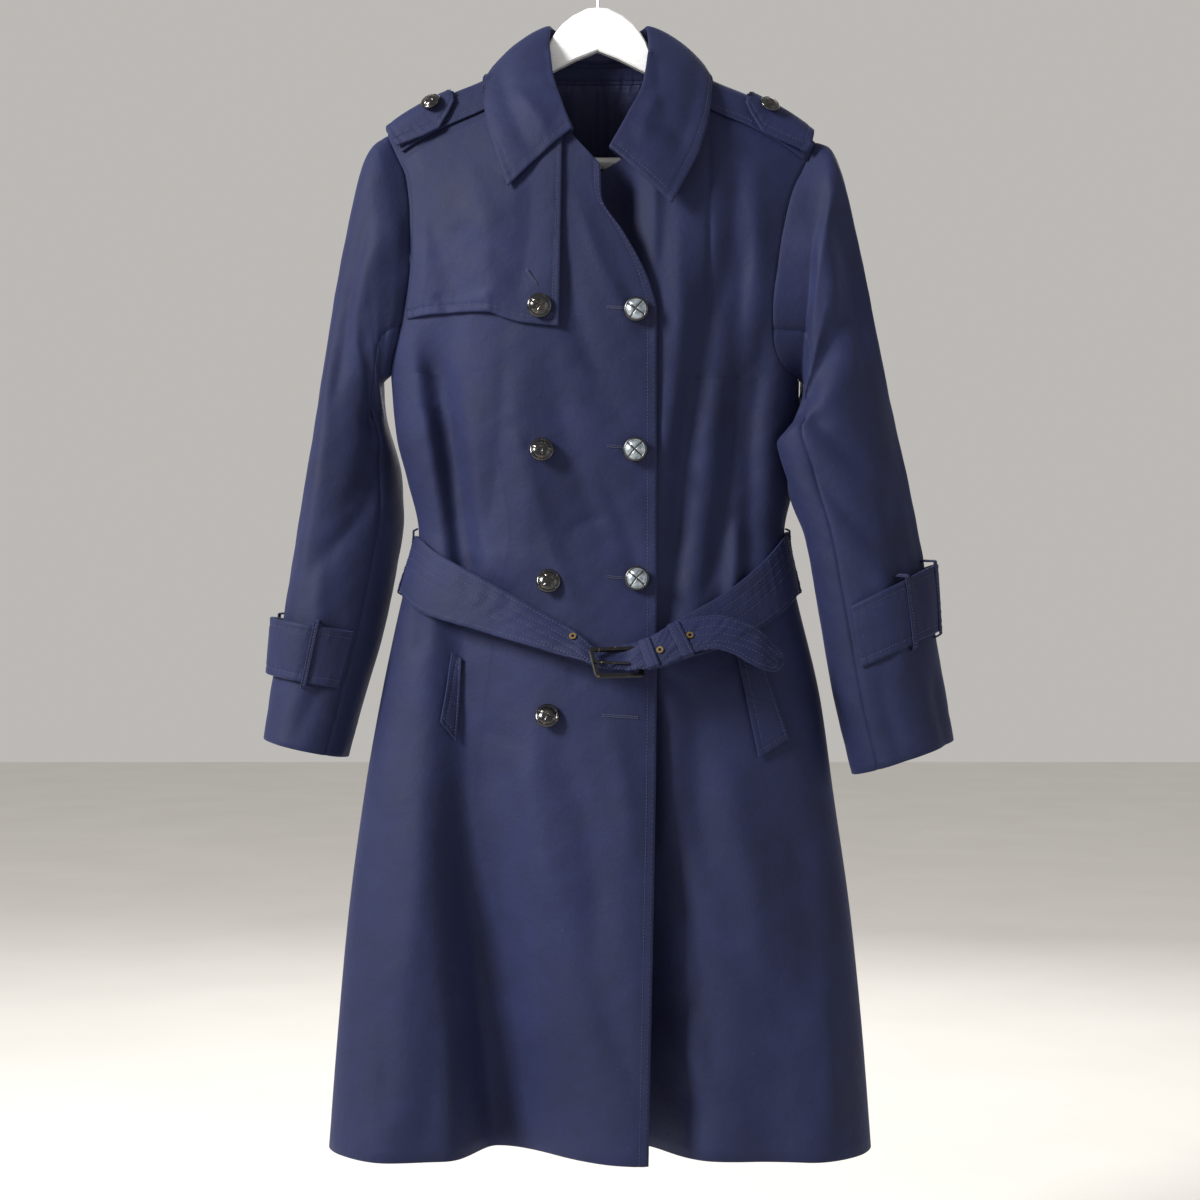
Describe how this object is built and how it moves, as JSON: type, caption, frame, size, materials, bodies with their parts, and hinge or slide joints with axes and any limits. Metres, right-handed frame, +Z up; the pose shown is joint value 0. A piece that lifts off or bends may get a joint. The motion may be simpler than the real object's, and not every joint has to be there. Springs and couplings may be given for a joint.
{
  "type": "trench coat on hanger",
  "caption": "Navy double-breasted belted trench coat, buttoned and buckled, hanging on a white wooden hanger with a wire hook; cloth held rigid as it hangs",
  "frame": {"origin": "the inside top of the hanger's hook, where a rail holds it", "axes": "+Z up, -Y out of the coat's front, +X towards the wearer's left sleeve"},
  "size_m": [0.653, 0.2032, 1.1523],
  "materials": {
    "coat_cloth": "fine navy cotton twill with a soft sheen",
    "lining": "dark navy lining",
    "button_resin": "polished domed black resin",
    "buckle_metal": "black enamel worn to brass at the edges",
    "brass": "aged brass",
    "white_wood": "white satin paint",
    "hook_steel": "plain wire"
  },
  "bodies": {
    "root": {"front_right": "coat_cloth", "front_left": "coat_cloth", "back": "coat_cloth", "sleeve_right_upper": "coat_cloth", "sleeve_right_under": "coat_cloth", "sleeve_left_upper": "coat_cloth", "sleeve_left_under": "coat_cloth", "collar_stand": "coat_cloth", "collar": "coat_cloth", "storm_flap": "coat_cloth", "shoulder_yoke_right": "coat_cloth", "shoulder_yoke_left": "coat_cloth", "epaulette_right": "coat_cloth", "epaulette_left": "coat_cloth", "neck_facing": "coat_cloth", "pocket_welt_right": "coat_cloth", "pocket_welt_left": "coat_cloth", "cuff_strap_right": "coat_cloth", "cuff_strap_left": "coat_cloth", "cuff_loop_right_side": "coat_cloth", "cuff_loop_right_front": "coat_cloth", "cuff_loop_left_side": "coat_cloth", "cuff_loop_left_front": "coat_cloth", "belt": "coat_cloth", "belt_keeper_fixed": "coat_cloth", "belt_keeper_sliding": "coat_cloth", "belt_loop_right": "coat_cloth", "belt_loop_left": "coat_cloth", "back_lining": "lining", "button_flap": "button_resin", "button_right_2": "button_resin", "button_right_3": "button_resin", "button_right_4": "button_resin", "button_left_1": "button_resin", "button_left_2": "button_resin", "button_left_3": "button_resin", "button_epaulette_right": "button_resin", "button_epaulette_left": "button_resin", "button_cuff_right": "button_resin", "button_cuff_left": "button_resin", "buckle_frame": "buckle_metal", "buckle_prong": "brass", "eyelet_1": "brass", "eyelet_2": "brass", "eyelet_3": "brass", "hanger_body": "white_wood", "hanger_bar": "white_wood", "hanger_hook": "hook_steel"}
  },
  "joints": []
}
